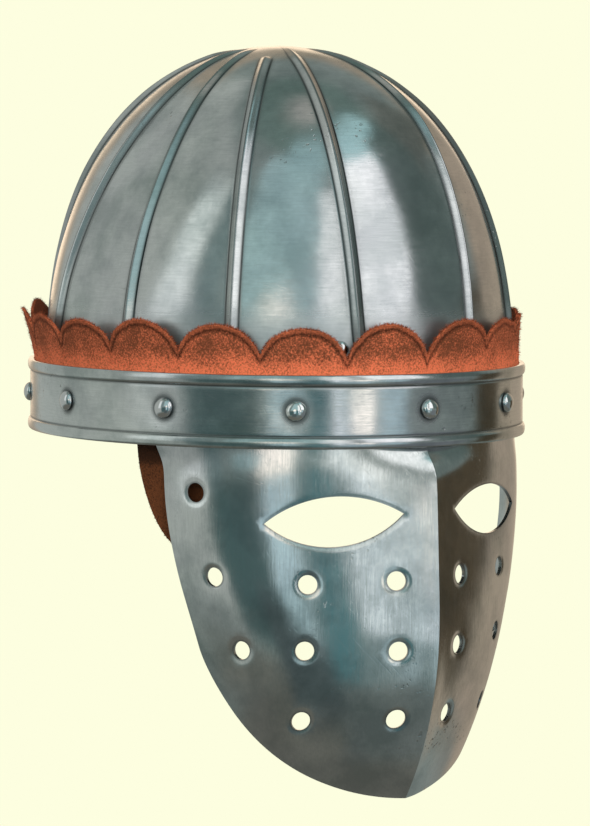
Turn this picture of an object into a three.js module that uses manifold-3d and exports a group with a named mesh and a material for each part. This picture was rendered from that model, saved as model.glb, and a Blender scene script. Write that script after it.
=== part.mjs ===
// Ribbed steel helmet: a one-piece skull, a riveted brow band over a scalloped suede trim,
// a creased face plate with two eye slots, and a suede flap inside the right temple.
// Millimetres, +Z up, the front faces -Y and the wearer's left is +X.
// The origin is the middle of the head opening, level with the brow band's lower edge.

import * as THREE from 'three';
import { mergeVertices } from 'three/addons/utils/BufferGeometryUtils.js';
import Module from 'manifold-3d';

const wasm = await Module();
wasm.setup();

const TAU = Math.PI * 2;
const DEG = Math.PI / 180;

// ---- driving dimensions ----

const BROW = { halfLength: 117, halfWidth: 103.4, height: 30.6, thickness: 1.5 };
const BEAD = { height: 5, proud: 0.9 };
const SHEET = 1.4;
const SUEDE = 1.5;
const GAP = 0.3;

// How far each layer's outer face lies inside the brow band's flat outer face.
const TRIM_INSET = BROW.thickness + GAP;
const PLATE_INSET = TRIM_INSET + SUEDE + GAP;
const SKULL_INSET = PLATE_INSET + SHEET + GAP;
const FLAP_INSET = SKULL_INSET + SHEET + GAP;

const SKULL = {
  rimZ: 9,
  springZ: 20,
  settleZ: 50,
  topZ: 167.1,
  halfWidth: 97.6,
  rimRatio: 1.12,
  crownRatio: 1.06,
  rimShift: -1.4,
  crownShift: -0.2,
  rise: 2.61,
  round: 1.96,
  shoulder: 1.28,
};

// Ribs go round from the front towards the wearer's left. Each leans a little, as hand raising leaves it.
const RIB = { height: 2.5, halfWidth: 2.9, startZ: 30, fullZ: 38, fadeStart: 0.78, fadeEnd: 0.95 };
const RIB_ANGLES = [17.6, 45, 75, 105, 135, 165, 195, 225, 254.7, 285.3, 313.1, 344.2];
const RIB_LEANS = [2, 0, 0, 0, 0, 0, 0, 0, 2, 2, 6, -6.5];

const TRIM = {
  lowZ: 10,
  bandTopZ: 31.5,
  notchZ: 37.2,
  lobeRise: 13.2,
  sideLift: 1.5,
  lean: 0.22,
  lobes: 19,
};

const PLATE = {
  topZ: 26,
  crease: 125.1,
  creaseTaper: 0.045,
  chinStartZ: -72,
  chinRadius: 136,
  leaveZ: -3.95,
  leaveLength: 2.85,
};
const REAR_EDGE = new THREE.CubicBezierCurve(
  new THREE.Vector2(119.5, -12),
  new THREE.Vector2(119.5, -32),
  new THREE.Vector2(112, -66.9),
  new THREE.Vector2(107.5, -84.9),
);
const JAW_EDGE = new THREE.CubicBezierCurve(
  new THREE.Vector2(107.5, -84.9),
  new THREE.Vector2(101.8, -107.6),
  new THREE.Vector2(47.5, -148.8),
  new THREE.Vector2(0, -148.8),
);

// Eye slot and breath holes as [distance round from the crease, height] on the wearer's right.
// The left side's are set slightly higher the further they lie from the crease.
const EYE = { middle: [43.3, -29], halfLength: 29.3, upperRise: 9.4, lowerDrop: 11.4, tilt: -4 * DEG };
const BREATH_RADIUS = 4;
const BREATHS = [
  [102.7, -19],
  [95.2, -54], [54.7, -55.9], [17.8, -54.6],
  [83.6, -84.7], [55.8, -83.7], [16.8, -83.9],
  [54, -114.1], [14.3, -113.1],
];
const LEFT_RISE = { base: 0.4, slope: 0.03 };

const RIVET = { z: 15.8, headRadius: 4.2, headHeight: 2.3, shankRadius: 1.6, peenRadius: 2.8 };
// Twelve rivets round the band, in 360ths of its girth from the front, drilled by eye.
const RIVET_PLACES = [0, 27.5, 60, 90, 120, 150, 180, 210, 237, 268.7, 300, 330];
const LINER_RIVET = { angle: 21, z: 41, headRadius: 3, headHeight: 1.8, shankRadius: 1.2, peenRadius: 2 };
const HOLE_CLEARANCE = 0.3;

const FLAP = {
  middle: -58.8 * DEG,
  halfAngle: 12.8 * DEG,
  topZ: 24,
  roundFromZ: -2,
  bottomZ: -45,
  inwardLean: 0.12,
};

// ---- materials ----

const steel = () => new THREE.MeshStandardMaterial({ color: 0x7c8a8a, roughness: 0.28, metalness: 1 });
const rivetSteel = () => new THREE.MeshStandardMaterial({ color: 0x8b9493, roughness: 0.35, metalness: 1 });
const rustSuede = () => new THREE.MeshStandardMaterial({ color: 0xa8502c, roughness: 0.95, metalness: 0 });
const brownSuede = () => new THREE.MeshStandardMaterial({ color: 0x5c3520, roughness: 0.95, metalness: 0 });

// ---- solids from point grids ----

const smooth = (x) => {
  const part = Math.min(1, Math.max(0, x));
  return part * part * (3 - 2 * part);
};
const lerp = (a, b, w) => a + (b - a) * w;

function meshFrom(points, triangles) {
  const geometry = new THREE.BufferGeometry();
  geometry.setAttribute('position', new THREE.Float32BufferAttribute(points.flat(), 3));
  geometry.setIndex(triangles.flat());
  return geometry;
}

// A closed band: each section is a loop of points, and the sections run all the way round.
function ringSolid(sections) {
  const n = sections[0].length;
  const triangles = [];
  sections.forEach((_, i) => {
    const a = i * n;
    const b = ((i + 1) % sections.length) * n;
    for (let k = 0; k < n; k++) {
      const l = (k + 1) % n;
      triangles.push([a + k, b + k, b + l], [a + k, b + l, a + l]);
    }
  });
  return meshFrom(sections.flat(), triangles);
}

// A domed shell: each meridian runs from the outer pole down to the rim and up to the inner pole.
function domeSolid(meridians, outerPole, innerPole) {
  const n = meridians[0].length;
  const outer = meridians.length * n;
  const triangles = [];
  meridians.forEach((_, i) => {
    const a = i * n;
    const b = ((i + 1) % meridians.length) * n;
    triangles.push([outer, a, b], [outer + 1, b + n - 1, a + n - 1]);
    for (let k = 0; k < n - 1; k++) {
      triangles.push([a + k, a + k + 1, b + k + 1], [a + k, b + k + 1, b + k]);
    }
  });
  return meshFrom([...meridians.flat(), outerPole, innerPole], triangles);
}

// A sheet with an edge: front and back grids of the same size, joined by a wall along the border.
function sheetSolid(front, back) {
  const rows = front.length;
  const cols = front[0].length;
  const size = rows * cols;
  const at = (r, c) => r * cols + c;
  const triangles = [];
  for (let r = 0; r < rows - 1; r++) {
    for (let c = 0; c < cols - 1; c++) {
      const quad = [at(r, c), at(r + 1, c), at(r + 1, c + 1), at(r, c + 1)];
      triangles.push([quad[0], quad[1], quad[2]], [quad[0], quad[2], quad[3]]);
      triangles.push([quad[2] + size, quad[1] + size, quad[0] + size]);
      triangles.push([quad[3] + size, quad[2] + size, quad[0] + size]);
    }
  }
  const border = [];
  for (let c = 0; c < cols - 1; c++) border.push(at(0, c));
  for (let r = 0; r < rows - 1; r++) border.push(at(r, cols - 1));
  for (let c = cols - 1; c > 0; c--) border.push(at(rows - 1, c));
  for (let r = rows - 1; r > 0; r--) border.push(at(r, 0));
  border.forEach((a, i) => {
    const b = border[(i + 1) % border.length];
    triangles.push([a, b, b + size], [a, b + size, a + size]);
  });
  return meshFrom([...front.flat(), ...back.flat()], triangles);
}

// ---- joining and cutting ----

function toManifold(geometry) {
  const bare = geometry.clone();
  bare.deleteAttribute('normal');
  bare.deleteAttribute('uv');
  const merged = mergeVertices(bare, 1e-4);
  const corners = merged.index.array;
  const kept = [];
  for (let i = 0; i < corners.length; i += 3) {
    const [a, b, c] = [corners[i], corners[i + 1], corners[i + 2]];
    if (a !== b && b !== c && c !== a) kept.push(a, b, c);
  }
  return new wasm.Manifold(new wasm.Mesh({
    numProp: 3,
    vertProperties: new Float32Array(merged.attributes.position.array),
    triVerts: new Uint32Array(kept),
  }));
}

function fromManifold(solid) {
  const mesh = solid.getMesh();
  const geometry = new THREE.BufferGeometry();
  geometry.setAttribute('position', new THREE.BufferAttribute(new Float32Array(mesh.vertProperties), 3));
  geometry.setIndex(new THREE.BufferAttribute(new Uint32Array(mesh.triVerts), 1));
  geometry.computeVertexNormals();
  return geometry;
}

const cutAll = (geometry, cutters) =>
  fromManifold(cutters.reduce((solid, cutter) => solid.subtract(toManifold(cutter)), toManifold(geometry)));

// ---- the brow line: an ellipse that every layer follows ----

function browPoint(t, inset, z) {
  const x = BROW.halfWidth * Math.sin(t);
  const y = -BROW.halfLength * Math.cos(t);
  const normal = browNormal(t);
  return [x - normal[0] * inset, y - normal[1] * inset, z];
}

function browNormal(t) {
  const nx = Math.sin(t) / BROW.halfWidth;
  const ny = -Math.cos(t) / BROW.halfLength;
  const length = Math.hypot(nx, ny);
  return [nx / length, ny / length, 0];
}

// Lengths round the brow line at the plate's layer, for placing things by distance from the front.
const BROW_STEPS = 720;
const browLengths = [0];
for (let i = 1; i <= BROW_STEPS; i++) {
  const a = browPoint(((i - 1) * TAU) / BROW_STEPS, PLATE_INSET, 0);
  const b = browPoint((i * TAU) / BROW_STEPS, PLATE_INSET, 0);
  browLengths.push(browLengths[i - 1] + Math.hypot(b[0] - a[0], b[1] - a[1]));
}
const browGirth = browLengths[BROW_STEPS];

function browAngle(distance) {
  const wanted = ((distance % browGirth) + browGirth) % browGirth;
  const i = Math.min(BROW_STEPS - 1, browLengths.findIndex((length) => length > wanted) - 1);
  const part = (wanted - browLengths[i]) / (browLengths[i + 1] - browLengths[i]);
  return ((i + part) * TAU) / BROW_STEPS;
}

// ---- the brow band ----

function browBand() {
  const { height, thickness } = BROW;
  const bead = [[0.3, 0], [0.8, 0.8], [1, 2.5], [0.8, 4.2], [0, BEAD.height]];
  const low = bead.map(([out, z]) => [-out * BEAD.proud, z]);
  const high = bead.map(([out, z]) => [-out * BEAD.proud, height - z]).reverse();
  const profile = [...low, ...high, [thickness, height], [thickness, 0]];
  const sections = 64;
  return ringSolid(Array.from({ length: sections }, (_, i) =>
    profile.map(([inset, z]) => browPoint((i * TAU) / sections, inset, z))));
}

// ---- the suede trim ----

// Height of the scalloped edge a part of the way round: equal round lobes with a notch at the front,
// standing a little higher at the sides.
function scallopZ(part) {
  const across = (part * TRIM.lobes) % 1;
  const halfLobe = browGirth / TRIM.lobes / 2;
  const radius = (halfLobe ** 2 + TRIM.lobeRise ** 2) / (2 * TRIM.lobeRise);
  const offset = (across - 0.5) * 2 * halfLobe;
  const lift = TRIM.sideLift * Math.sin(part * TAU) ** 2;
  return TRIM.notchZ + lift + Math.sqrt(radius ** 2 - offset ** 2) - (radius - TRIM.lobeRise);
}

function suedeTrim() {
  const perLobe = 5;
  const count = TRIM.lobes * perLobe;
  return ringSolid(Array.from({ length: count }, (_, i) => {
    const t = browAngle((i / count) * browGirth);
    const top = scallopZ(i / count);
    const outward = (z) => TRIM.lean * Math.max(0, z - TRIM.bandTopZ);
    const side = (inset) => [TRIM.lowZ, TRIM.bandTopZ, top].map((z) => browPoint(t, inset - outward(z), z));
    return [...side(TRIM_INSET), ...side(TRIM_INSET + SUEDE).reverse()];
  }));
}

// ---- the skull ----

// The plain dome. u runs from 0 where it springs from the band to 1 at the crown.
function domePoint(t, u) {
  const lift = (u * Math.PI) / 2;
  const roundness = SKULL.round + SKULL.shoulder * Math.cos(2 * t) * (1 - u);
  const reach = Math.max(0, Math.cos(lift)) ** (2 / roundness);
  const h = Math.sin(lift) ** (2 / SKULL.rise);
  const z = lerp(SKULL.springZ, SKULL.topZ, h);
  const halfLength = SKULL.halfWidth * lerp(SKULL.rimRatio, SKULL.crownRatio, h);
  const x = SKULL.halfWidth * reach * Math.sin(t);
  const y = -halfLength * reach * Math.cos(t) + lerp(SKULL.rimShift, SKULL.crownShift, h);
  const brow = browPoint(t, SKULL_INSET, z);
  const settled = smooth((z - SKULL.springZ) / (SKULL.settleZ - SKULL.springZ));
  return new THREE.Vector3(lerp(brow[0], x, settled), lerp(brow[1], y, settled), z);
}

function domeNormal(t, u) {
  if (u < 1e-6) return new THREE.Vector3(...browNormal(t));
  const step = 1e-3;
  const along = domePoint(t + step, u).sub(domePoint(t - step, u));
  const up = domePoint(t, u + step / 2).sub(domePoint(t, u - step));
  return along.cross(up).normalize();
}

function ribHeight(z, u) {
  const start = smooth((z - RIB.startZ) / (RIB.fullZ - RIB.startZ));
  const fade = 1 - smooth((u - RIB.fadeStart) / (RIB.fadeEnd - RIB.fadeStart));
  return RIB.height * start * fade;
}

// The angles of the columns at height u: a foot, a crest and a foot at each rib, and two between ribs.
function skullColumns(u) {
  const columns = [];
  const crests = RIB_ANGLES.map((angle, i) => (angle + RIB_LEANS[i] * u) * DEG);
  crests.forEach((crest, i) => {
    const next = i + 1 < crests.length ? crests[i + 1] : crests[0] + TAU;
    const foot = (t) => {
      const p = domePoint(t, u);
      const radius = Math.max(Math.hypot(p.x, p.y), 1);
      return Math.min(RIB.halfWidth / radius, 0.22 * (next - crest));
    };
    const from = crest + foot(crest);
    const to = next - foot(next);
    columns.push({ t: crest, crest: true });
    [0, 1 / 3, 2 / 3, 1].forEach((part) => columns.push({ t: lerp(from, to, part), crest: false }));
  });
  return columns;
}

function skullShell() {
  const low = [0, 0.015, 0.04, 0.065, 0.09, 0.13, 0.2];
  const high = [0.28, 0.37, 0.46, 0.55, 0.64, 0.73, 0.82, 0.89, 0.95];
  const levels = [...low, ...high];
  const surfacePoint = (column, u, inset) => {
    const p = domePoint(column.t, u);
    const out = (column.crest ? ribHeight(p.z, u) : 0) - inset;
    return p.addScaledVector(domeNormal(column.t, u), out).toArray();
  };
  const grid = levels.map((u) => skullColumns(u));
  const meridians = grid[0].map((_, c) => {
    const rim = grid[0][c].t;
    const face = (inset) => [
      browPoint(rim, SKULL_INSET + inset, SKULL.rimZ),
      ...levels.map((u, row) => surfacePoint(grid[row][c], u, inset)),
    ];
    return [...face(0).reverse(), ...face(SHEET)];
  });
  const crown = domePoint(0, 1);
  return domeSolid(meridians, crown.toArray(), [crown.x, crown.y, crown.z - SHEET]);
}

// ---- the face plate ----

function creaseForward(z) {
  if (z > PLATE.chinStartZ) return PLATE.crease - PLATE.creaseTaper * Math.max(0, z + 65);
  const drop = PLATE.chinStartZ - z;
  return PLATE.crease - (PLATE.chinRadius - Math.sqrt(PLATE.chinRadius ** 2 - drop ** 2));
}

// The plate's section turns from its slope at the crease towards straight back as it goes round.
function plateTurn(s, z) {
  const down = (-z - 60) / 60;
  const start = (24.2 + 2 * down) * DEG;
  const bend = (56 + 35.5 * down + 32.8 * down ** 2) * DEG;
  const most = 90 * DEG - start;
  return start + most * Math.tanh((bend * (s / 100) ** 2.8) / most);
}

function creasedPoint(distance, z, inset) {
  const steps = Math.max(1, Math.round(distance / 2.5));
  const ds = distance / steps;
  let x = 0;
  let y = -creaseForward(z);
  for (let i = 0; i < steps; i++) {
    const turn = plateTurn((i + 0.5) * ds, z);
    x += Math.cos(turn) * ds;
    y += Math.sin(turn) * ds;
  }
  const turn = plateTurn(distance, z);
  if (distance < 1e-6) return [0, y + inset / Math.cos(turn)];
  return [x - Math.sin(turn) * inset, y + Math.cos(turn) * inset];
}

// A point of the plate: s goes round from the crease, + to the wearer's left. It follows the brow
// band above the band's lower edge and its own creased section below it.
function platePoint(s, z, inset = 0) {
  const distance = Math.abs(s);
  const side = s < 0 ? -1 : 1;
  const creased = creasedPoint(distance, z, inset);
  const brow = browPoint(browAngle(distance), PLATE_INSET + inset, z);
  const free = 1 / (1 + Math.exp((z - PLATE.leaveZ) / PLATE.leaveLength));
  return [side * lerp(brow[0], creased[0], free), lerp(brow[1], creased[1], free), z];
}

function plateOutward(s, z) {
  const step = 0.5;
  const at = (ds, dz) => new THREE.Vector3(...platePoint(s + ds, z + dz));
  const across = at(step, 0).sub(at(-step, 0));
  const up = at(0, step).sub(at(0, -step));
  return across.cross(up).normalize();
}

// Rows as [half width round from the crease, height], from the top edge to the chin.
function plateRows() {
  const top = REAR_EDGE.getPoint(0);
  const straight = [PLATE.topZ, 12, 5, 1, -2, -5, -8].map((z) => [top.x, z]);
  const rear = REAR_EDGE.getPoints(7).map((p) => [p.x, p.y]);
  const jaw = JAW_EDGE.getPoints(11).slice(1, -1).map((p) => [p.x, p.y]);
  const chin = JAW_EDGE.getPoint(0.985);
  return [...straight, ...rear, ...jaw, [chin.x, chin.y]];
}

function plateSheet() {
  const columns = 9;
  const across = Array.from({ length: 2 * columns + 1 }, (_, i) => (i - columns) / columns);
  const row = (width, z, inset) => across.map((part) => platePoint(part * width, z, inset));
  const face = (inset) => plateRows().map(([width, z]) => row(width, z, inset));
  return sheetSolid(face(0), face(SHEET));
}

function lensShape() {
  const arcPoints = (rise, from, to, count) => {
    const radius = (EYE.halfLength ** 2 + rise ** 2) / (2 * Math.abs(rise));
    return Array.from({ length: count }, (_, i) => {
      const x = lerp(from, to, i / count);
      const y = Math.sqrt(radius ** 2 - x ** 2) - (radius - Math.abs(rise));
      return new THREE.Vector2(x, Math.sign(rise) * y);
    });
  };
  return [
    ...arcPoints(EYE.upperRise, EYE.halfLength, -EYE.halfLength, 10),
    ...arcPoints(-EYE.lowerDrop, -EYE.halfLength, EYE.halfLength, 10),
  ];
}

const leftLift = (side, s) => (side > 0 ? LEFT_RISE.base + LEFT_RISE.slope * s : 0);

// A lens drawn on the flat sheet and bent with it, thick enough to go right through.
function eyeCutter(side) {
  const depth = 5;
  const geometry = new THREE.ExtrudeGeometry(new THREE.Shape(lensShape()), {
    depth: 2 * depth, bevelEnabled: false, steps: 1,
  });
  const position = geometry.attributes.position;
  for (let i = 0; i < position.count; i++) {
    const [x, y] = [position.getX(i), position.getY(i)];
    const s = EYE.middle[0] + x * Math.cos(EYE.tilt) - y * Math.sin(EYE.tilt);
    const z = EYE.middle[1] + x * Math.sin(EYE.tilt) + y * Math.cos(EYE.tilt) + leftLift(side, s);
    const point = platePoint(s, z, depth - position.getZ(i));
    position.setXYZ(i, side * point[0], point[1], point[2]);
  }
  if (side < 0) turnInsideOut(geometry);
  return geometry;
}

function turnInsideOut(geometry) {
  const bare = new THREE.BufferGeometry().setAttribute('position', geometry.attributes.position);
  const merged = mergeVertices(bare);
  const corners = merged.index.array;
  for (let i = 0; i < corners.length; i += 3) {
    [corners[i], corners[i + 1]] = [corners[i + 1], corners[i]];
  }
  geometry.setAttribute('position', merged.attributes.position);
  geometry.setIndex(merged.index);
  geometry.deleteAttribute('normal');
  geometry.deleteAttribute('uv');
}

// A round pin along a direction, centred on a point.
function pinAlong(centre, direction, radius, length, sides) {
  const pin = new THREE.CylinderGeometry(radius, radius, length, sides);
  const upright = new THREE.Vector3(0, 1, 0);
  const turn = new THREE.Quaternion().setFromUnitVectors(upright, direction);
  return pin.applyQuaternion(turn).translate(centre[0], centre[1], centre[2]);
}

function breathCutters() {
  return [-1, 1].flatMap((side) => BREATHS.map(([s, z]) => {
    const height = z + leftLift(side, s);
    return pinAlong(platePoint(side * s, height), plateOutward(side * s, height), BREATH_RADIUS, 10, 12);
  }));
}

// ---- rivets ----

// A domed head outside, a shank through the layers and a small peened head inside. Axis along +Y.
function rivetShape(rivet, grip) {
  const { headRadius, headHeight, shankRadius, peenRadius } = rivet;
  const peenHeight = 1;
  const dome = [0, 0.38, 0.7].map((part) =>
    new THREE.Vector2(headRadius * Math.sqrt(1 - part ** 2), headHeight * part));
  const outline = [
    new THREE.Vector2(0, -grip - GAP - peenHeight),
    new THREE.Vector2(peenRadius * 0.8, -grip - GAP - peenHeight),
    new THREE.Vector2(peenRadius, -grip - GAP),
    new THREE.Vector2(shankRadius, -grip - GAP),
    new THREE.Vector2(shankRadius, GAP),
    ...dome.map((p) => new THREE.Vector2(p.x, p.y + GAP)),
    new THREE.Vector2(0, headHeight + GAP),
  ];
  return new THREE.LatheGeometry(outline, 10);
}

function placeRivet(mesh, seat, outward) {
  mesh.position.set(...seat);
  mesh.quaternion.setFromUnitVectors(new THREE.Vector3(0, 1, 0), outward);
}

const bandRivets = RIVET_PLACES.map((place) => {
  const t = browAngle((place / 360) * browGirth);
  return { seat: browPoint(t, 0, RIVET.z), outward: new THREE.Vector3(...browNormal(t)) };
});

// The dome's level u at a height z, found by halving.
function levelAt(t, z) {
  let [low, high] = [0, 1];
  for (let i = 0; i < 30; i++) {
    const middle = (low + high) / 2;
    if (domePoint(t, middle).z < z) low = middle;
    else high = middle;
  }
  return low;
}

const linerRivets = [-1, 1].map((side) => {
  const t = side * LINER_RIVET.angle * DEG;
  const u = levelAt(t, LINER_RIVET.z);
  const outward = domeNormal(t, u);
  return { seat: domePoint(t, u).toArray(), outward, side };
});

const rivetHoles = bandRivets.map(({ seat, outward }) =>
  pinAlong(seat, outward, RIVET.shankRadius + HOLE_CLEARANCE, 30, 8));
const linerRivetHoles = linerRivets.map(({ seat, outward }) =>
  pinAlong(seat, outward, LINER_RIVET.shankRadius + HOLE_CLEARANCE, 12, 8));

// ---- the suede flap inside the right temple ----

function templeFlap() {
  const rounding = FLAP.roundFromZ - FLAP.bottomZ;
  const rows = [FLAP.topZ, 12, FLAP.roundFromZ];
  const roundSteps = 8;
  for (let i = 1; i <= roundSteps; i++) {
    rows.push(FLAP.roundFromZ - rounding * Math.sin((i / roundSteps) * 88 * DEG));
  }
  const halfWidth = (z) => {
    const drop = Math.max(0, FLAP.roundFromZ - z) / rounding;
    return FLAP.halfAngle * Math.sqrt(1 - drop ** 2);
  };
  const across = [-1, -0.75, -0.5, -0.25, 0, 0.25, 0.5, 0.75, 1];
  const leanIn = (z) => FLAP.inwardLean * Math.max(0, -z);
  const row = (z, inset) => across.map((part) =>
    browPoint(FLAP.middle + part * halfWidth(z), FLAP_INSET + inset + leanIn(z), z));
  const face = (inset) => rows.map((z) => row(z, inset));
  return sheetSolid(face(0), face(SUEDE));
}

// ---- assembly ----

const helmet = new THREE.Group();

function add(name, geometry, material) {
  const mesh = new THREE.Mesh(geometry, material);
  mesh.name = name;
  helmet.add(mesh);
  return mesh;
}

add('skull', cutAll(skullShell(), [...rivetHoles, ...linerRivetHoles]), steel());
add('brow_band', cutAll(browBand(), rivetHoles), steel());
add('suede_trim', cutAll(suedeTrim(), rivetHoles), rustSuede());
add('face_plate', cutAll(plateSheet(), [
  eyeCutter(-1), eyeCutter(1), ...breathCutters(), ...rivetHoles,
]), steel());
add('temple_flap', cutAll(templeFlap(), rivetHoles), brownSuede());

bandRivets.forEach(({ seat, outward }, i) => {
  const name = `band_rivet_${String(i + 1).padStart(2, '0')}`;
  const grip = FLAP_INSET + SUEDE;
  placeRivet(add(name, rivetShape(RIVET, grip), rivetSteel()), seat, outward);
});

linerRivets.forEach(({ seat, outward, side }) => {
  const name = side < 0 ? 'liner_rivet_right' : 'liner_rivet_left';
  placeRivet(add(name, rivetShape(LINER_RIVET, SHEET + GAP), rivetSteel()), seat, outward);
});

export default helmet;
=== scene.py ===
"""Looks of the ribbed steel helmet.

Builds the skull, brow band, suede trim, face plate, rivets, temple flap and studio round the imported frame.
"""

import math
import random

import bpy
import numpy as np
from bpy.props import FloatProperty, FloatVectorProperty, PointerProperty
from mathutils import Matrix, Vector, noise
from mathutils.geometry import delaunay_2d_cdt


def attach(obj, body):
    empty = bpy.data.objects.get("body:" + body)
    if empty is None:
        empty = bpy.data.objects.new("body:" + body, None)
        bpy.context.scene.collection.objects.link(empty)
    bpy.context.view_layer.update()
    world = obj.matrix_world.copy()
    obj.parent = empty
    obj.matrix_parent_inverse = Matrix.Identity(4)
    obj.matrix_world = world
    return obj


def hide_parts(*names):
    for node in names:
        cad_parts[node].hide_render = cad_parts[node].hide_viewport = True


bl_info = {
    "name": "Ribbed helmet with face plate",
    "version": (1, 0, 0),
    "blender": (4, 5, 0),
    "location": "3D View > Sidebar > Helmet",
    "description": "Builds the looks of a ribbed steel helmet around its packed frame",
    "category": "Object",
}

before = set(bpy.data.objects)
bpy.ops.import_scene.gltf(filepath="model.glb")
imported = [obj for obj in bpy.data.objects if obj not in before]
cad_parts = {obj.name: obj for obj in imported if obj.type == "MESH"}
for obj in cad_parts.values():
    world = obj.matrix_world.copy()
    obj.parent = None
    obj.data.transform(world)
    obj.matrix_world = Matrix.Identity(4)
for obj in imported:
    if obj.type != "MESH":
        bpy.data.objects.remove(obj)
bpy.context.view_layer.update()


MM = 0.001
TAU = math.tau
DEG = math.pi / 180

# ---- sizes shared with the frame, in millimetres ----

BROW_HALF_LENGTH, BROW_HALF_WIDTH = 117.0, 103.4
BAND_HEIGHT, BAND_THICKNESS = 30.6, 1.5
SHEET, SUEDE = 1.4, 1.5
TRIM_INSET, PLATE_INSET, SKULL_INSET, FLAP_INSET = 1.8, 3.6, 5.3, 7.0

SKULL_RIM_Z, SPRING_Z, SETTLE_Z, TOP_Z = 9.0, 20.0, 50.0, 167.1
SKULL_HALF_WIDTH = 97.6
RIM_RATIO, CROWN_RATIO = 1.12, 1.06
RIM_SHIFT, CROWN_SHIFT = -1.4, -0.2
RISE, ROUND, SHOULDER = 2.61, 1.96, 1.28
# For each rib: its angle at the foot, how far it leans by the crown (degrees), and the level where it fades.
RIB_ANGLES = (17.6, 45, 75, 105, 135, 165, 195, 225, 254.7, 285.3, 313.1, 344.2)
RIB_LEANS = (2, 0, 0, 0, 0, 0, 0, 0, 2, 2, 6, -6.5)
RIB_ENDS = (0.87, 0.86, 0.86, 0.86, 0.86, 0.86, 0.86, 0.86, 0.87, 0.86, 0.79, 0.88)
RIB_START_Z, RIB_FULL_Z = 30.0, 38.0

TRIM_LOW_Z, TRIM_FREE_Z, NOTCH_Z = 10.0, 31.5, 37.2
LOBES, LOBE_RISE, SIDE_LIFT = 19, 13.2, 1.5
# For each lobe of the trim, from the front towards the wearer's left: how it curls outwards, how much its
# first notch has risen, and how much taller it has stretched.
LOBE_CURLS = (
    0.1, -0.06, -0.05, 0.08, 0.14, 0.1, 0.16, 0.12, 0.08, 0.13,
    0.18, 0.09, 0.17, 0.13, 0.13, 0.09, 0.04, 0.03, 0.0,
)
NOTCH_RISES = (
    0.0, 4.5, 8.0, 5.0, 1.0, 0.5, 1.5, 0.0, 1.0, 2.0,
    0.5, 2.5, 3.5, 3.2, 2.5, 1.5, 0.7, 0.0, -1.2,
)
LOBE_STRETCHES = (
    1.7, 0.1, 0.3, 0.6, -0.4, 0.5, -0.8, 0.4, 0.9, -0.3,
    3.2, 3.6, 0.9, -0.4, -1.2, 0.2, -0.6, -1.6, 0.5,
)

# The plate unrolled: distance round from the crease, height.
PLATE_TOP_Z, CHIN_Z, PLATE_REACH = 26.0, -148.8, 119.5
CREASE, CREASE_TAPER, CREASE_TAPER_Z = 125.1, 0.045, -65.0
CHIN_START_Z, CHIN_RADIUS = -72.0, 136.0
LEAVE_Z, LEAVE_LENGTH = -3.95, 2.85
# The plate's section: how far it is turned at the crease and how far it bends round from there, in degrees,
# with what each gains going down.
CREASE_TURN, CREASE_TURN_GAIN = 24.2, 2.0
BEND, BEND_GAIN, BEND_GAIN_SQUARED, BEND_POWER = 56.0, 35.5, 32.8, 2.8
REAR_EDGE = ((PLATE_REACH, -12), (PLATE_REACH, -32), (112, -66.9), (107.5, -84.9))
JAW_EDGE = ((107.5, -84.9), (101.8, -107.6), (47.5, CHIN_Z), (0, CHIN_Z))
EYE_MIDDLE, EYE_HALF_LENGTH = (43.3, -29.0), 29.3
EYE_UPPER, EYE_LOWER, EYE_TILT = 9.4, 11.4, -4 * DEG
BREATH_RADIUS = 4.0
BREATHS = (
    (102.7, -19), (95.2, -54), (54.7, -55.9), (17.8, -54.6), (83.6, -84.7),
    (55.8, -83.7), (16.8, -83.9), (54, -114.1), (14.3, -113.1),
)
LEFT_RISE_BASE, LEFT_RISE_SLOPE = 0.4, 0.03
# Gaps of the rings of points that keep the sheet fine round each opening.
RING_GAPS = (0.35, 0.9, 1.7, 2.6)

RIVET_Z = 15.8
RIVET_PLACES = (0, 27.5, 60, 90, 120, 150, 180, 210, 237, 268.7, 300, 330)
LINER_ANGLE, LINER_Z = 21.0, 41.0
# Head radius, head height, shank radius, peened radius and length of the shank.
BAND_RIVET = (4.3, 2.7, 1.5, 2.8, FLAP_INSET + SUEDE + 0.2)
LINER_RIVET = (3.4, 2.0, 1.2, 2.0, SHEET + 0.3)

FLAP_MIDDLE, FLAP_HALF_ANGLE = -58.8 * DEG, 12.8 * DEG
FLAP_TOP_Z, FLAP_ROUND_Z, FLAP_BOTTOM_Z, FLAP_LEAN = 24.0, -2.0, -45.0, 0.12


# ---- shape of the helmet, as functions of the same sizes ----

def smooth(x):
    part = np.clip(x, 0, 1)
    return part * part * (3 - 2 * part)


def lerp(a, b, w):
    return a + (b - a) * w


def bell(distance, width):
    """1 at no distance, falling smoothly to nearly 0 two widths away."""
    return np.exp(-((distance / width) ** 2))


def unit(vectors):
    return vectors / np.linalg.norm(vectors, axis=-1, keepdims=True)


def brow_normal(t):
    nx = np.sin(t) / BROW_HALF_WIDTH
    ny = -np.cos(t) / BROW_HALF_LENGTH
    length = np.hypot(nx, ny)
    return nx / length, ny / length


def brow_outward(t):
    """The level direction straight out of the brow line."""
    nx, ny = brow_normal(t)
    return np.stack([nx, ny, 0 * nx], -1)


def brow_point(t, inset, z):
    """A point of the brow ellipse, moved inwards, at a height. Works on arrays."""
    nx, ny = brow_normal(t)
    x = BROW_HALF_WIDTH * np.sin(t) - nx * inset
    y = -BROW_HALF_LENGTH * np.cos(t) - ny * inset
    return np.stack(np.broadcast_arrays(x, y, z), -1)


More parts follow.
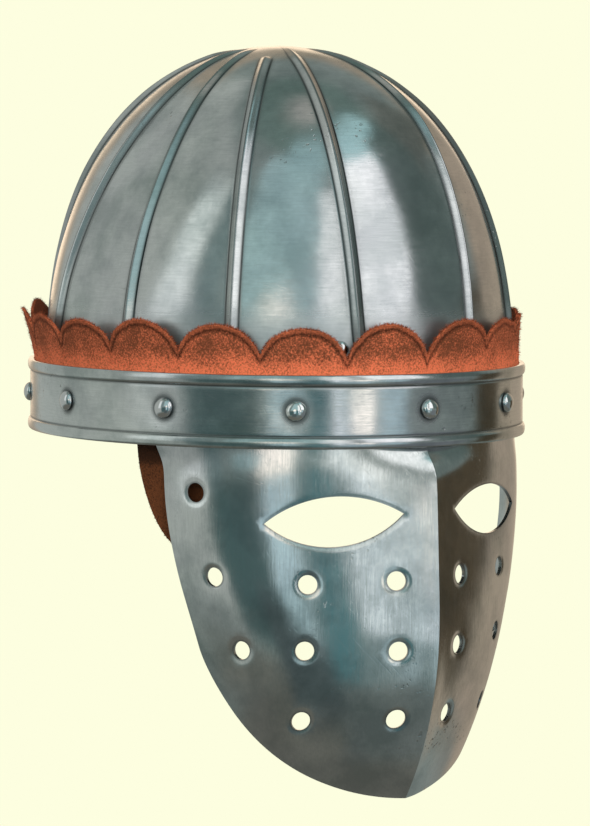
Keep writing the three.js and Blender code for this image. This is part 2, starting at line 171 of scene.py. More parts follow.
# Distances round the brow line from the front, for looking up the ellipse angle.
BROW_TABLE_ANGLES = np.linspace(0, TAU, 1441)
BROW_TABLE_STEPS = np.diff(brow_point(BROW_TABLE_ANGLES, PLATE_INSET, 0.0), axis=0)
BROW_TABLE_LENGTHS = np.concatenate([[0.0], np.cumsum(np.linalg.norm(BROW_TABLE_STEPS, axis=1))])
BROW_GIRTH = BROW_TABLE_LENGTHS[-1]


def brow_angle(distance):
    """The ellipse angle at a distance round the brow line from the front."""
    return np.interp(np.mod(distance, BROW_GIRTH), BROW_TABLE_LENGTHS, BROW_TABLE_ANGLES)


def dome_point(t, u):
    """The plain dome: u runs from 0 where it springs from the band to 1 at the crown."""
    lift = u * math.pi / 2
    roundness = ROUND + SHOULDER * np.cos(2 * t) * (1 - u)
    reach = np.maximum(0, np.cos(lift)) ** (2 / roundness)
    height = np.sin(lift) ** (2 / RISE)
    z = lerp(SPRING_Z, TOP_Z, height)
    half_length = SKULL_HALF_WIDTH * lerp(RIM_RATIO, CROWN_RATIO, height)
    x = SKULL_HALF_WIDTH * reach * np.sin(t)
    y = -half_length * reach * np.cos(t) + lerp(RIM_SHIFT, CROWN_SHIFT, height)
    brow = brow_point(t, SKULL_INSET, z)
    settled = smooth((z - SPRING_Z) / (SETTLE_Z - SPRING_Z))
    return np.stack([lerp(brow[..., 0], x, settled), lerp(brow[..., 1], y, settled), z + 0 * x], -1)


def dome_normal(t, u):
    """The direction straight out of the plain dome."""
    step = 1e-3
    along = dome_point(t + step, u) - dome_point(t - step, u)
    up = dome_point(t, np.minimum(u + step / 2, 1)) - dome_point(t, np.maximum(u - step, 1e-5))
    return unit(np.cross(along, up))


def crease_forward(z):
    """How far the crease stands forward of the frame's middle at a height."""
    drop = np.maximum(0, CHIN_START_Z - z)
    chin = CREASE - (CHIN_RADIUS - np.sqrt(CHIN_RADIUS**2 - drop**2))
    return np.where(z > CHIN_START_Z, CREASE - CREASE_TAPER * np.maximum(0, z - CREASE_TAPER_Z), chin)


def plate_turn(s, z):
    """How far the plate's section has turned from sideways towards straight back."""
    down = (-z - 60) / 60
    start = (CREASE_TURN + CREASE_TURN_GAIN * down) * DEG
    bend = (BEND + BEND_GAIN * down + BEND_GAIN_SQUARED * down**2) * DEG
    most = 90 * DEG - start
    return start + most * np.tanh(bend * (s / 100) ** BEND_POWER / most)


def plate_point(s, z, inset=0.0):
    """A point of the face plate: s goes round from the crease, + to the wearer's left."""
    s, z = np.broadcast_arrays(np.asarray(s, float), np.asarray(z, float))
    distance = np.abs(s)
    steps = 48
    ds = distance / steps
    x = np.zeros_like(distance)
    y = -crease_forward(z)
    for i in range(steps):
        turn = plate_turn((i + 0.5) * ds, z)
        x = x + np.cos(turn) * ds
        y = y + np.sin(turn) * ds
    turn = plate_turn(distance, z)
    on_crease = distance < 1e-6
    x = np.where(on_crease, 0, x - np.sin(turn) * inset)
    y = np.where(on_crease, y + inset / np.cos(turn), y + np.cos(turn) * inset)
    brow = brow_point(brow_angle(distance), PLATE_INSET + inset, z)
    free = 1 / (1 + np.exp((z - LEAVE_Z) / LEAVE_LENGTH))
    side = np.where(s < 0, -1, 1)
    return np.stack([side * lerp(brow[..., 0], x, free), lerp(brow[..., 1], y, free), z], -1)


def plate_outward(s, z):
    """The direction straight out of the face plate."""
    step = 0.4
    across = plate_point(s + step, z) - plate_point(s - step, z)
    up = plate_point(s, z + step) - plate_point(s, z - step)
    return unit(np.cross(across, up))


def unevenness(points, size, seed):
    """Slow hand-work waves from -1 to 1 at points in millimetres; size is the waves' length."""
    shift = Vector((seed * 7.31, seed * 3.17, seed * 5.71))
    values = [noise.noise(Vector(p) / size + shift) for p in points.reshape(-1, 3)]
    return np.array(values).reshape(points.shape[:-1])


# ---- meshes ----

def make_piece(name, points, faces, material, sharp=None):
    """A smooth mesh piece; points come in millimetres."""
    mesh = bpy.data.meshes.new(name)
    mesh.from_pydata((np.asarray(points) * MM).tolist(), [], faces)
    mesh.validate()
    mesh.shade_smooth()
    if sharp is not None:
        mesh.set_sharp_from_angle(angle=sharp * DEG)
    piece = bpy.data.objects.new(name, mesh)
    bpy.context.scene.collection.objects.link(piece)
    piece.data.materials.append(material)
    return piece


def grid_faces(rows, columns, closed, start=0, flip=False):
    """Quads of a grid stored row by row; closed joins the last column to the first."""
    faces = []
    last = columns if closed else columns - 1
    for r in range(rows - 1):
        for c in range(last):
            d = (c + 1) % columns
            quad = [start + r * columns + c, start + r * columns + d,
                    start + (r + 1) * columns + d, start + (r + 1) * columns + c]
            faces.append(quad[::-1] if flip else quad)
    return faces


def ring_piece(name, sections, material, sharp=None):
    """A closed ring: sections[i] is the loop of points round the i-th section."""
    count, size, _ = sections.shape
    faces = []
    for i in range(count):
        j = (i + 1) % count
        for k in range(size):
            m = (k + 1) % size
            faces.append([i * size + k, j * size + k, j * size + m, i * size + m])
    return make_piece(name, sections.reshape(-1, 3), faces, material, sharp)


def settle(piece, slot, *nodes):
    """Puts a finished piece in the place of its frame nodes."""
    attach(piece, "root")
    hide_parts(*nodes)
    return piece


def set_values(piece, name, values):
    """Stores a number on each point for the material to read."""
    attribute = piece.data.attributes.new(name, "FLOAT", "POINT")
    attribute.data.foreach_set("value", np.asarray(values, np.float32).ravel())


# ---- materials ----

class Wiring:
    """Short ways to add and join a material's nodes."""

    def __init__(self, name):
        self.material = bpy.data.materials.new(name)
        self.material.use_nodes = True
        self.tree = self.material.node_tree
        self.shader = self.tree.nodes["Principled BSDF"]

    def add(self, kind, inputs=None, **settings):
        made = self.tree.nodes.new("ShaderNode" + kind)
        for key, value in settings.items():
            setattr(made, key, value)
        for key, value in (inputs or {}).items():
            self.put(made.inputs[key], value)
        return made

    def put(self, socket, value):
        if isinstance(value, bpy.types.NodeSocket):
            self.tree.links.new(value, socket)
        elif isinstance(value, (tuple, list)) and socket.type == "RGBA":
            socket.default_value = (*value[:3], 1)
        else:
            socket.default_value = value

    def place(self, stretch=(1, 1, 1)):
        return self.moved(self.add("TexCoord").outputs["Object"], scale=stretch)

    def noise(self, where, scale, detail=2.0, rough=0.5):
        inputs = {"Vector": where, "Scale": scale, "Detail": detail, "Roughness": rough}
        return self.add("TexNoise", inputs).outputs["Fac"]

    def spread(self, value, low, high, to_low=0.0, to_high=1.0):
        """Brings low to high on to a new range, and holds at its ends."""
        inputs = {"Value": value, "From Min": low, "From Max": high, "To Min": to_low, "To Max": to_high}
        return self.add("MapRange", inputs).outputs["Result"]

    def math(self, operation, a, b):
        return self.add("Math", {0: a, 1: b}, operation=operation).outputs[0]

    def moved(self, where, **how):
        inputs = {"Vector": where, **{key.title(): value for key, value in how.items()}}
        return self.add("Mapping", inputs).outputs["Vector"]

    def stored(self, name):
        """A number that the mesh holds on its points."""
        return self.add("Attribute", attribute_name=name).outputs["Fac"]

    def mix(self, share, a, b):
        made = self.add("Mix", data_type="RGBA")
        self.put(made.inputs["Factor"], share)
        self.put(made.inputs["A"], a)
        self.put(made.inputs["B"], b)
        return made.outputs["Result"]

    def bump(self, height, distance, strength=1.0, under=None):
        inputs = {"Height": height, "Distance": distance, "Strength": strength}
        if under is not None:
            inputs["Normal"] = under
        return self.add("Bump", inputs).outputs["Normal"]

    def finish(self, **values):
        for key, value in values.items():
            self.put(self.shader.inputs[key.replace("_", " ")], value)
        return self.material


PIT_COLOUR = (0.05, 0.045, 0.04)
# Near-black colour of the painted shade along rib feet and crests, band grooves, rivet rings and hole rims.
PAINTED_SHADE_COLOUR = (0.03, 0.035, 0.035)
# The turn of each family of scratches, in radians, and how its noise is stretched along it.
SCRATCHES = ((0.35, (14, 1700, 1700)), (-0.8, (1500, 18, 1500)), (1.2, (1600, 1600, 20)))


def tinted(colour, *shares):
    return tuple(part * share for part, share in zip(colour, shares))


def steel_material(name, bright, dull, roughness, brush, seed):
    """Polished mild steel: cloudy tint, brushed grain, fine scratches, clusters of small dark pits, and painted
    shade where the mesh holds grime values.
    """
    w = Wiring(name)
    here = w.place()
    moved = w.moved(here, location=(seed, seed * 0.7, seed * 1.3))
    clouds = w.noise(moved, 26, 5, 0.65)
    streaks = w.noise(w.place(brush), 1.0, 3, 0.65)

    colour = w.mix(w.spread(clouds, 0.38, 0.6), dull, bright)
    hue = w.spread(w.noise(moved, 14, 3, 0.6), 0.4, 0.62)
    colour = w.mix(w.math("MULTIPLY", hue, 0.35), colour, tinted(bright, 0.92, 0.84, 0.94))
    colour = w.mix(w.spread(streaks, 0.3, 0.8, 0.0, 0.22), colour, tinted(dull, 0.6, 0.62, 0.6))
    specks = w.noise(moved, 620, 1, 0.4)
    cluster = w.spread(w.noise(moved, 34, 2), 0.6, 0.78)
    pits = w.math("MULTIPLY", w.spread(specks, 0.66, 0.74), cluster)
    colour = w.mix(w.math("MULTIPLY", pits, 0.75), colour, PIT_COLOUR)
    # Painted shade: darkens the colour towards the painted shade colour wherever the mesh holds grime values.
    grime = w.math("MULTIPLY", w.stored("grime"), w.spread(clouds, 0.3, 0.7, 0.6, 1.0))
    colour = w.mix(grime, colour, PAINTED_SHADE_COLOUR)

    lines = []
    for turn, stretch in SCRATCHES:
        turned = w.moved(here, rotation=(turn, turn * 0.6, turn))
        lines.append(w.spread(w.noise(w.moved(turned, scale=stretch), 1.0, 0, 0.5), 0.76, 0.84))
    scratches = w.math("MAXIMUM", w.math("MAXIMUM", lines[0], lines[1]), lines[2])

    polish = w.spread(clouds, 0.3, 0.7, roughness * 1.2, roughness * 0.85)
    rough = w.math("ADD", polish, w.spread(streaks, 0.3, 0.8, 0.0, 0.09))
    rough = w.math("ADD", rough, w.math("MULTIPLY", w.math("ADD", pits, grime), 0.25))
    rough = w.math("ADD", rough, w.math("MULTIPLY", w.stored("dulled"), 0.3))

    normal = w.bump(streaks, 0.00003, 0.5)
    normal = w.bump(w.noise(moved, 75, 2, 0.5), 0.0002, 0.3, normal)
    normal = w.bump(scratches, -0.00002, 0.35, normal)
    normal = w.bump(pits, -0.00015, 0.8, normal)
    return w.finish(Base_Color=colour, Roughness=rough, Normal=normal, Metallic=1.0)


def suede_material(name, lit, deep, edge, seed):
    """Napped suede: a fine two-tone nap, a painted shadow along the crease just inside the cut edge and a paler
    cut edge.
    """
    w = Wiring(name)
    moved = w.moved(w.place(), location=(seed, seed, seed))
    nap = w.noise(moved, 1250, 4, 0.78)
    patches = w.noise(moved, 90, 3, 0.6)
    gap = w.stored("edge_gap")

    # Darker nap higher up: a little up the trim's lobes, and on the flap part of its painted shadow under the
    # band.
    darker_up_high = w.spread(w.stored("height"), 0, 1, 0.07, -0.07)
    sparse = w.math("ADD", darker_up_high, w.spread(patches, 0.35, 0.65, 0.04, -0.04))
    colour = w.mix(w.spread(w.math("ADD", nap, sparse), 0.4, 0.6), deep, lit)
    # Painted shadow: a dark line along the crease just inside the cut edge, as if cast by the folded suede's
    # lip; it also darkens the trim's inner face and the flap's upper part.
    crease = w.math("MULTIPLY", w.spread(gap, 1.0, 1.9), w.spread(gap, 2.0, 3.6, 1.0, 0.0))
    colour = w.mix(w.math("MULTIPLY", crease, w.spread(nap, 0.35, 0.65, 1.0, 0.75)), colour, edge)
    cut = w.math("MULTIPLY", w.spread(gap, 0.9, 1.5, 1.0, 0.0), w.spread(nap, 0.35, 0.6, 0.1, 0.7))
    colour = w.mix(cut, colour, tuple((a + b) * 0.45 for a, b in zip(lit, deep)))

    normal = w.bump(nap, 0.0006, 0.7)
    normal = w.bump(patches, 0.0005, 0.4, normal)
    return w.finish(Base_Color=colour, Normal=normal, Roughness=0.92, Sheen_Weight=0.25,
                    Sheen_Roughness=0.5, Sheen_Tint=(*lit, 1.0), Specular_IOR_Level=0.2)


def glow_material(name, colour):
    """A flat colour that needs no light."""
    w = Wiring(name)
    w.tree.nodes.remove(w.shader)
    glow = w.add("Emission", {"Color": colour, "Strength": 1.0})
    output = w.tree.nodes["Material Output"]
    w.tree.links.new(glow.outputs[0], output.inputs["Surface"])
    return w.material


def settings():
    return bpy.context.scene.helmet


def steel(name, brush, seed, roughness=1.0, dull="steel_dull"):
    chosen = settings()
    bright, dull = tuple(chosen.steel_bright), tuple(getattr(chosen, dull))
    return steel_material(name, bright, dull, chosen.steel_roughness * roughness, brush, seed)


def suede(name, seed, *colours):
    return suede_material(name, *(tuple(getattr(settings(), colour)) for colour in colours), seed)


# Each steel has its own brush direction: across the skull, along the band and down the plate.
FINISHES = {
    "skull_steel": lambda name: steel(name, (110, 110, 1500), 1.0),
    "band_steel": lambda name: steel(name, (90, 90, 1900), 2.0, 1.1),
    "plate_steel": lambda name: steel(name, (1300, 1300, 70), 3.0),
    "rivet_steel": lambda name: steel(name, (700, 700, 700), 4.0, 0.5, "steel_bright"),
    "trim_suede": lambda name: suede(name, 1.0, "rust_lit", "rust_deep", "rust_crease_shade"),
    "flap_suede": lambda name: suede(name, 5.0, "flap_lit", "flap_hollow_and_shade", "flap_hollow_and_shade"),
}
made_finishes = {}


def finish_named(name):
    """The finish of a material slot, made once."""
    if name not in made_finishes:
        made_finishes[name] = FINISHES[name](name)
    return made_finishes[name]


# ---- settings ----

def colour_setting(name, description, default):
    return FloatVectorProperty(name=name, description=description, default=default, subtype="COLOR",
                               size=3, min=0, max=1)


class HelmetSettings(bpy.types.PropertyGroup):
    """Sizes and colours that a user would change."""

    rib_height: FloatProperty(name="Rib height", description="How far each rib stands out of the skull",
                              default=0.0025, unit="LENGTH", min=0, max=0.006)
    rib_half_width: FloatProperty(name="Rib half width", description="Half the width of a rib at its foot",
                                  default=0.0029, unit="LENGTH", min=0.001, max=0.006)
    hammer_depth: FloatProperty(name="Hammer depth", description="Depth of the slow waves left by hand raising",
                                default=0.0003, unit="LENGTH", min=0, max=0.002)
    steel_roughness: FloatProperty(name="Steel roughness", description="How satin the polished steel is",
                                   default=0.13, subtype="FACTOR", min=0, max=1)
    steel_bright: colour_setting("Bright steel", "Steel where the polish is fresh", (0.715, 0.73, 0.715))
    steel_dull: colour_setting("Dull steel", "Steel where the polish has dulled", (0.4, 0.438, 0.43))
    rust_lit: colour_setting("Suede nap", "Rust-orange suede where the nap stands up", (0.82, 0.19, 0.085))
    rust_deep: colour_setting("Suede hollow", "Rust-orange suede between the fibres", (0.165, 0.051, 0.023))
    # The colour of the painted shadow along the trim's crease.
    rust_crease_shade: colour_setting("Suede edge", "Suede along its cut edge", (0.045, 0.015, 0.007))
    flap_lit: colour_setting("Flap nap", "Brown suede where the nap stands up", (0.16, 0.05, 0.018))
    # Also the colour of the painted shadow over the flap's upper part.
    flap_hollow_and_shade: colour_setting("Flap hollow", "Brown suede between the fibres", (0.04, 0.014, 0.006))


# ---- skull ----

# Columns to each side of a rib's crest in millimetres, close together where the rib meets the dome.
RIB_COLUMNS = (0.3, 0.7, 1.1, 1.6, 2.0, 2.4, 2.75, 3.1, 3.6, 4.4, 5.6)
PLAIN_COLUMNS = 8
# The most of the gap between two ribs that each millimetre of a rib may take.
RIB_ROOM = 0.22 / 2.9
FAR_FROM_RIBS = 99
DULL_BELOW_Z = 62
CREST_ROUNDING = 0.45
# Rib ends below this level are blunt and the others run out slowly.
BLUNT_BELOW, BLUNT_TAPER, SLOW_TAPER = 0.8, 0.03, 0.11


def skull_grid():
    """The skull's levels, the angle and the distance from a crest of each point, and each column's rib end."""
    low = np.linspace(0, 0.2, 22)
    middle = np.linspace(0.2, 0.75, 44)[1:]
    high = np.linspace(0.75, 0.985, 28)[1:]
    levels = np.concatenate([low, middle, high])
    sides = np.array(RIB_COLUMNS)
    owners, angles, distances = [], [], []
    for u in levels:
        crests = (np.array(RIB_ANGLES) + np.array(RIB_LEANS) * u) * DEG
        gaps = np.diff(np.append(crests, crests[0] + TAU))
        points = dome_point(crests, np.full(crests.shape, u))
        radii = np.maximum(np.hypot(points[:, 0], points[:, 1]), 1)
        per_mm = np.minimum(1 / radii, RIB_ROOM * np.minimum(gaps, np.roll(gaps, 1)))
        row_t, row_d = [], []
        for i, crest in enumerate(crests):
            after = (i + 1) % len(crests)
            left = crest + sides * per_mm[i]
            right = crest + gaps[i] - sides[::-1] * per_mm[after]
            plain = np.linspace(left[-1], right[0], PLAIN_COLUMNS + 2)[1:-1]
            row_t += [crest, *left, *plain, *right]
            row_d += [0, *sides, *([FAR_FROM_RIBS] * PLAIN_COLUMNS), *sides[::-1]]
            if u == 0:
                owners += [i] * (1 + len(sides) + PLAIN_COLUMNS) + [after] * len(sides)
        angles.append(row_t)
        distances.append(row_d)
    return levels, np.array(angles), np.array(distances), np.array(RIB_ENDS)[owners]


def skull_points(inset):
    """The skull's points at a depth in the sheet, their angles, and the painted shade beside and on the ribs.
    """
    chosen = settings()
    levels, t, d, ends = skull_grid()
    u = np.repeat(levels[:, None], t.shape[1], axis=1)
    base = dome_point(t, u)
    z = base[..., 2]
    half = chosen.rib_half_width / MM
    rounded = np.sqrt(d**2 + CREST_ROUNDING**2) - CREST_ROUNDING
    slope = np.clip(1 - rounded / (half - 0.1), 0, 1)
    start = smooth((z - RIB_START_Z) / (RIB_FULL_Z - RIB_START_Z))
    taper = np.where(ends < BLUNT_BELOW, BLUNT_TAPER, SLOW_TAPER)[None, :]
    fade = (1 - 0.5 * smooth((u - 0.5) / 0.35)) * (1 - smooth((u - ends[None, :]) / taper + 0.5))
    rib = chosen.rib_height / MM * start * fade * slope**1.25
    waves = chosen.hammer_depth / MM * (unevenness(base, 34, 1) + 0.35 * unevenness(base, 13, 2))
    waves = waves * smooth((z - 32) / 10)
    # Painted shade and painted reflection: a dark line along each rib's foot and another along its crest.
    grime = 0.95 * bell(d - half, 0.5) + 0.2 * bell(d - half, 1.4) + 0.75 * bell(d, 0.4)
    grime = grime * start * np.minimum(1, fade * 1.6)
    return base + dome_normal(t, u) * (rib + waves - inset)[..., None], t, grime


def build_skull():
    outer, t, rib_shade = skull_points(0)
    inner, _, _ = skull_points(SHEET)
    outer = np.concatenate([brow_point(t[0], SKULL_INSET, SKULL_RIM_Z)[None], outer])
    inner = np.concatenate([brow_point(t[0], SKULL_INSET + SHEET, SKULL_RIM_Z)[None], inner])
    rows, columns, _ = outer.shape
    size = rows * columns
    crown = dome_point(0.0, 1.0)
    crowns = [crown, crown - [0, 0, SHEET]]
    points = np.concatenate([outer.reshape(-1, 3), inner.reshape(-1, 3), crowns])
    faces = grid_faces(rows, columns, True) + grid_faces(rows, columns, True, size, True)
    top = (rows - 1) * columns
    for c in range(columns):
        d = (c + 1) % columns
        faces.append([top + c, top + d, 2 * size])
        faces.append([size + top + d, size + top + c, 2 * size + 1])
        faces.append([size + c, size + d, d, c])
    piece = make_piece("ribbed_skull", points, faces, finish_named("skull_steel"), 70)
    grime = np.zeros(len(points))
    grime[columns:size] = rib_shade.ravel()
    set_values(piece, "grime", grime)
    set_values(piece, "dulled", smooth((DULL_BELOW_Z - points[:, 2]) / 20))
    return settle(piece, "skull_steel", "skull")


# ---- brow band ----

BAND_SECTIONS = 720
GROOVE_GAP = 5.1


def band_profile():
    """The band's section as (inset, height): a rolled bead with a thin groove along each edge."""
    bead = []
    for a in np.linspace(-80, 84, 12):
        bead.append((-0.15 - 0.85 * math.cos(a * DEG), 2.35 + 2.3 * math.sin(a * DEG)))
    groove = [(0.16, 4.9), (0.2, 5.15), (0.04, 5.5), (0.0, 5.9)]
    low = bead + groove
    flat = [(0.0, z) for z in np.linspace(6.8, BAND_HEIGHT - 6.8, 20)]
    high = [(inset, BAND_HEIGHT - z) for inset, z in reversed(low)]
    inside = [(BAND_THICKNESS, z) for z in (BAND_HEIGHT - 0.2, BAND_HEIGHT / 2, 0.2)]
    return low + flat + high + inside


def build_band():
    t = np.arange(BAND_SECTIONS) * TAU / BAND_SECTIONS
    profile = np.array(band_profile())
    sections = brow_point(t[:, None], profile[None, :, 0], profile[None, :, 1])
    outward = brow_outward(t)[:, None, :]
    waves = 0.16 * unevenness(sections, 45, 5) + 0.06 * unevenness(sections, 16, 6)
    from_edge = np.minimum(profile[:, 1], BAND_HEIGHT - profile[:, 1])
    # Painted shade: a dark line in the groove beside each bead.
    grime = np.zeros(sections.shape[:2]) + 0.8 * bell(from_edge - GROOVE_GAP, 0.45)
    for place in RIVET_PLACES:
        seat = brow_point(brow_angle(place / 360 * BROW_GIRTH), 0.0, RIVET_Z)
        reach = np.linalg.norm(sections - seat, axis=-1)
        waves = waves - 0.3 * bell(reach, 6.5)
        # Painted shadow: a dark ring round each rivet head where it meets the band.
        grime = np.maximum(grime, 0.95 * bell(np.maximum(0, reach - 4.5), 1.5))
    sections = sections + outward * waves[..., None]
    piece = ring_piece("riveted_brow_band", sections, finish_named("band_steel"), 50)
    set_values(piece, "grime", grime)
    return settle(piece, "band_steel", "brow_band")


# ---- rivets ----

RIVET_SIDES = 32


def rivet_shape(head_radius, head_height, shank_radius, peen_radius, grip, seed):
    """A hammered dome head, a shank and a small peened head inside, with the axis along +Z."""
    rng = random.Random(seed)
    outline = []
    for a in np.linspace(90, 0, 11):
        outline.append((head_radius * math.cos(a * DEG), head_height * math.sin(a * DEG) + 0.25))
    outline += [
        (head_radius * 0.97, 0.05), (shank_radius, 0.0), (shank_radius, -grip), (peen_radius, -grip - 0.1),
        (peen_radius * 0.9, -grip - 0.7), (peen_radius * 0.5, -grip - 1.1), (0.0, -grip - 1.2),
    ]
    sides = RIVET_SIDES
    squash = 1 + rng.uniform(-0.05, 0.05)
    lean = rng.uniform(0, TAU)
    points = [(0, 0, outline[0][1])]
    for radius, z in outline[1:-1]:
        for k in range(sides):
            a = k * TAU / sides
            wobble = 1 + 0.025 * math.sin(2 * a + lean) + 0.012 * math.sin(5 * a + 2 * lean)
            points.append((radius * math.cos(a) * squash * wobble, radius * math.sin(a) * wobble, z))
    points.append((0, 0, outline[-1][1]))
    faces = [[0, 1 + k, 1 + (k + 1) % sides] for k in range(sides)]
    rows = len(outline) - 2
    for r in range(rows - 1):
        for k in range(sides):
            m = (k + 1) % sides
            a, b = 1 + r * sides, 1 + (r + 1) * sides
            faces.append([a + k, b + k, b + m, a + m])
    last = 1 + (rows - 1) * sides
    faces += [[len(points) - 1, last + (k + 1) % sides, last + k] for k in range(sides)]
    return np.array(points, float), faces


def place_rivet(node, seat, outward, sizes, seed):
    """A rivet with its head's foot at the seat, in the place of the frame's own."""
    points, faces = rivet_shape(*sizes, seed)
    turn = Vector((0, 0, 1)).rotation_difference(Vector(outward)).to_matrix()
    points = points @ np.array(turn).T + np.asarray(seat)
    piece = make_piece(node + "_domed", points, faces, finish_named("rivet_steel"), 55)
    return settle(piece, "rivet_steel", node)


def liner_seat(side):
    """Where a liner rivet sits on the skull, and the way it points."""
    t = side * LINER_ANGLE * DEG
    low, high = 0.0, 1.0
    for _ in range(30):
        middle = (low + high) / 2
        if dome_point(t, middle)[2] < LINER_Z:
            low = middle
        else:
            high = middle
    return dome_point(t, low), dome_normal(t, low)


def build_rivets():
    for i, place in enumerate(RIVET_PLACES):
        t = float(brow_angle(place / 360 * BROW_GIRTH))
        seat = brow_point(t, 0.1, RIVET_Z)
        place_rivet(f"band_rivet_{i + 1:02d}", seat, (*brow_normal(t), 0), BAND_RIVET, 100 + i)
    for side, word in ((-1, "right"), (1, "left")):
        place_rivet(f"liner_rivet_{word}", *liner_seat(side), LINER_RIVET, 200 + side)


# ---- suede trim ----

def scallop_top(part):
    """Height of the scalloped edge a part of the way round."""
    across = np.mod(part * LOBES, 1)
    half_lobe = BROW_GIRTH / LOBES / 2
    radius = (half_lobe**2 + LOBE_RISE**2) / (2 * LOBE_RISE)
    offset = (across - 0.5) * 2 * half_lobe
    lift = SIDE_LIFT * np.sin(part * TAU) ** 2
    lobe = np.floor(part * LOBES).astype(int) % LOBES
    notch = np.floor(part * LOBES + 0.5).astype(int) % LOBES
    stretch = np.array(LOBE_STRETCHES)[lobe] * np.sin(across * math.pi)
    rise = np.array(NOTCH_RISES)[notch] * np.maximum(0, 1 - 3.2 * np.minimum(across, 1 - across)) ** 1.5
    return NOTCH_Z + lift + stretch + rise + np.sqrt(radius**2 - offset**2) - (radius - LOBE_RISE)


def trim_lean(part, z):
    """How far the trim leans out of the band at a height; each lobe curls a little its own way."""
    curls = np.array(LOBE_CURLS)
    centres = np.mod(part * LOBES - 0.5, LOBES)
    first = np.floor(centres).astype(int) % LOBES
    share = smooth(np.mod(centres, 1))
    curl = curls[first] * (1 - share) + curls[(first + 1) % LOBES] * share
    rise = np.maximum(0, z - TRIM_FREE_Z)
    return curl * rise + 0.0045 * rise**2


def trim_height(z):
    """0 where the trim comes free of the band, 1 up its lobes."""
    return smooth((z - TRIM_FREE_Z) / 10)


SECTIONS_PER_LOBE = 40
CUT_EDGE_DEPTHS = (0.15, 0.5, 1.0, 1.35)
CREASE_GAP = 2.1
# What edge_gap holds where there is no edge near: on the open nap, and on the trim's inner face, which it
# darkens with part of the painted crease shadow.
OPEN_NAP, INNER_FACE = 8.0, 2.8


def trim_sections():
    """The trim's sections, the gap to the cut edge and the height of each point, and the edge's outline."""
    count = LOBES * SECTIONS_PER_LOBE
    part = np.arange(count) / count
    t = brow_angle(part * BROW_GIRTH)
    ragged = np.array([noise.noise(Vector((p * 300, 0.3, 0.7))) for p in part])
    top = scallop_top(part) + 0.35 * ragged
    up = 1 - (1 - np.linspace(0, 1, 24)) ** 1.7
    front = TRIM_LOW_Z + (top - TRIM_LOW_Z)[:, None] * up[None, :]
    depths = np.array(CUT_EDGE_DEPTHS)
    cut_edge = np.repeat(top[:, None], len(depths), 1) + 0.12
    zs = np.concatenate([front, cut_edge, front[:, ::-1]], axis=1)
    insets = np.concatenate(
        [np.full(front.shape, 0.0), np.repeat(depths[None], count, 0), np.full(front.shape, SUEDE)], axis=1
    )
    lean = trim_lean(part[:, None], zs)
    steepness = np.gradient(top) / (BROW_GIRTH / count)
    gap = (top[:, None] - zs) / np.sqrt(1 + np.clip(steepness, -1.4, 1.4)[:, None] ** 2)
    face_count = front.shape[1]
    crease = bell(gap - CREASE_GAP, 0.7)
    crease[:, face_count:] = 0
    points = brow_point(t[:, None], TRIM_INSET + insets - lean + 0.35 * crease, zs)
    gap = np.clip(gap, 0, 12)
    gap[:, face_count + len(depths):] = INNER_FACE
    return points, gap, trim_height(zs), top


FIBRE_HALF_WIDTH, FIBRE_POINTS = 0.11, 5


def nap_fibres(name, roots, outwards, ups, lengths, material, seed):
    """Short tapered fibres standing out of a suede edge."""
    rng = np.random.default_rng(seed)
    count = len(roots)
    spread = rng.normal(0, 0.45, (count, 3))
    direction = unit(ups + outwards * rng.normal(0.1, 0.6, (count, 1)) + spread)
    across = unit(np.cross(direction, outwards))
    reach = (lengths * rng.uniform(0.35, 1.0, count))[:, None]
    sag = rng.normal(0, 0.22, (count, 3)) * reach
    low_a = roots - across * FIBRE_HALF_WIDTH
    low_b = roots + across * FIBRE_HALF_WIDTH
    middle_a = roots + direction * reach * 0.55 - across * FIBRE_HALF_WIDTH * 0.7
    middle_b = roots + direction * reach * 0.55 + across * FIBRE_HALF_WIDTH * 0.7
    tip = roots + direction * reach + sag
    points = np.stack([low_a, low_b, middle_b, middle_a, tip], 1).reshape(-1, 3)
    faces = []
    for k in range(0, FIBRE_POINTS * count, FIBRE_POINTS):
        faces += [[k, k + 1, k + 2, k + 3], [k + 3, k + 2, k + 4]]
    return make_piece(name, points, faces, material)


EDGE_FIBRES, FACE_FIBRES = 9000, 8000


